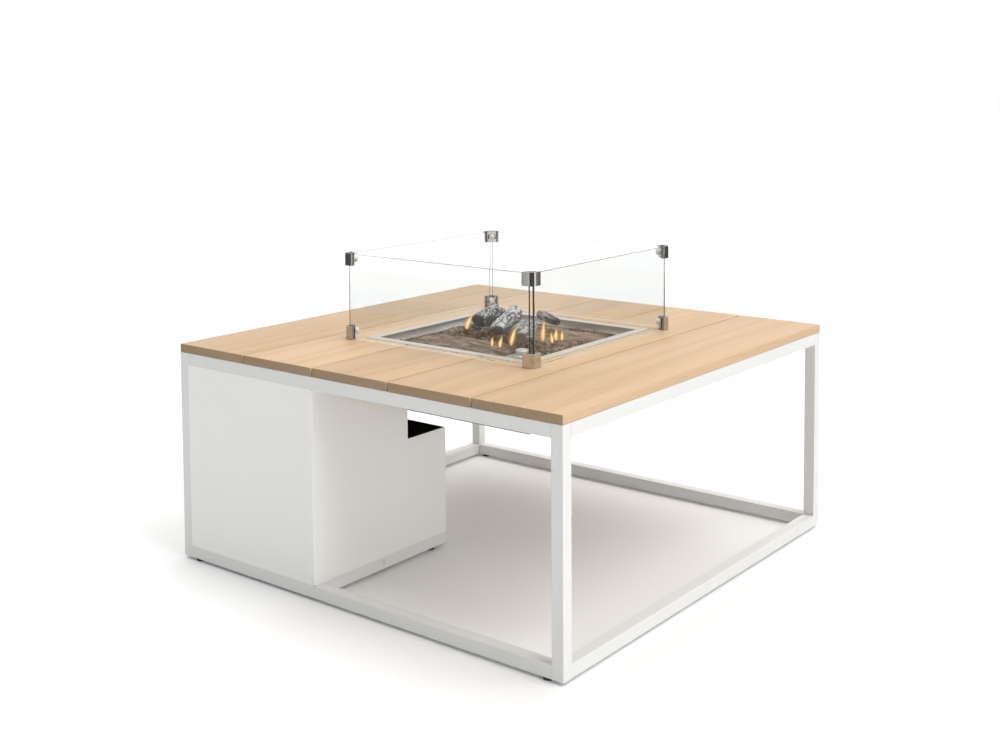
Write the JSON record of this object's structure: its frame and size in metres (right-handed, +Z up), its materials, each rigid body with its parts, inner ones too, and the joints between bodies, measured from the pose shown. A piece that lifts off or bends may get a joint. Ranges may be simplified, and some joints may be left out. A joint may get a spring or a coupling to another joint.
{
  "type": "gas fire-pit table",
  "caption": "Square low garden table with a plank top, tube frame, corner bottle cabinet and a drop-in gas burner with grate, ceramic logs and glass wind guard.",
  "frame": {"origin": "on the ground, under the middle of the table", "axes": "+Z up; +Y along the planks, from the cabinet's front face to the back; +X across the planks, away from the cabinet"},
  "size_m": [1, 1, 0.653],
  "materials": {
    "frame_powder_coat": "white powder coat on aluminium tube",
    "cabinet_powder_coat": "white powder coat on aluminium sheet",
    "teak": "sanded, oiled teak",
    "black_plastic": "moulded, fine texture",
    "knob_metal": "turned, satin anodised",
    "screw_steel": "bright stainless",
    "burner_steel": "brushed stainless",
    "housing_steel": "mill-finish galvanised",
    "electrode_ceramic": "glazed",
    "brass": "bright",
    "grate_iron": "matte heat-proof black",
    "lava": "rough, porous",
    "log_bark": "matte moulded bark",
    "log_ash": "matte, grey with white ash",
    "glass": "clear toughened",
    "clip_steel": "polished stainless",
    "nut_plastic": "pale moulded",
    "silicone": "translucent silicone"
  },
  "bodies": {
    "table": {"leg_front_left": "frame_powder_coat", "leg_front_right": "frame_powder_coat", "leg_back_right": "frame_powder_coat", "leg_back_left": "frame_powder_coat", "top_rail_front": "frame_powder_coat", "top_rail_right": "frame_powder_coat", "top_rail_back": "frame_powder_coat", "top_rail_left": "frame_powder_coat", "bottom_rail_front": "frame_powder_coat", "bottom_rail_right": "frame_powder_coat", "bottom_rail_back": "frame_powder_coat", "bottom_rail_left": "frame_powder_coat", "cabinet_rail_side": "frame_powder_coat", "cabinet_rail_back": "frame_powder_coat", "beams": "frame_powder_coat", "cabinet_panel": "cabinet_powder_coat", "cabinet_back_panel": "cabinet_powder_coat", "cabinet_floor": "cabinet_powder_coat", "board_1": "teak", "board_2": "teak", "board_3_front": "teak", "board_3_back": "teak", "board_4": "teak", "board_5": "teak", "feet": "black_plastic", "door_catches": "black_plastic", "cabinet_screws": "screw_steel", "door_pivot_pins": "screw_steel", "board_screws": "screw_steel", "burner_pan": "burner_steel", "control_box": "burner_steel", "burner_ring": "burner_steel", "burner_housing": "housing_steel", "thermocouple": "screw_steel", "spark_electrode": "electrode_ceramic", "gas_valve": "brass", "supply_pipe": "brass", "feed_pipe": "brass", "gas_injector": "brass"},
    "door": {"cabinet_door": "cabinet_powder_coat"},
    "plunger": {"valve_plunger": "brass"},
    "knob": {"valve_stem": "screw_steel", "control_knob": "knob_metal"},
    "fire_bed": {"fire_grate": "grate_iron", "lava_stones": "lava", "log_base_front": "log_bark", "log_base_back": "log_bark", "log_front": "log_bark", "log_ash": "log_ash", "log_cross": "log_ash", "log_charred": "log_ash"},
    "guard": {"pane_front": "glass", "pane_right": "glass", "pane_back": "glass", "pane_left": "glass", "guard_clips": "clip_steel", "guard_clip_plates": "clip_steel", "guard_liners": "silicone", "guard_nuts": "nut_plastic", "guard_pads": "silicone"}
  },
  "joints": [
    {"name": "door_swing", "type": "hinge", "parent": "table", "child": "door", "pos_m": [-0.495, -0.465, 0.227], "axis": [0, 0, 1], "range_deg": [0, 110]},
    {"name": "knob_push", "type": "slide", "parent": "table", "child": "plunger", "axis": [0, 0, -1], "range_m": [0, 0.004], "stiffness_N_per_m": 1200, "springref_m": -0.003},
    {"name": "knob_turn", "type": "hinge", "parent": "plunger", "child": "knob", "pos_m": [0.1535, -0.1535, 0.465], "axis": [0, 0, 1], "range_deg": [0, 210]},
    {"name": "bed_lift", "type": "slide", "parent": "table", "child": "fire_bed", "axis": [0, 0, 1], "range_m": [0, 0.24]},
    {"name": "guard_lift", "type": "slide", "parent": "table", "child": "guard", "axis": [0, 0, 1], "range_m": [0, 0.2]}
  ]
}
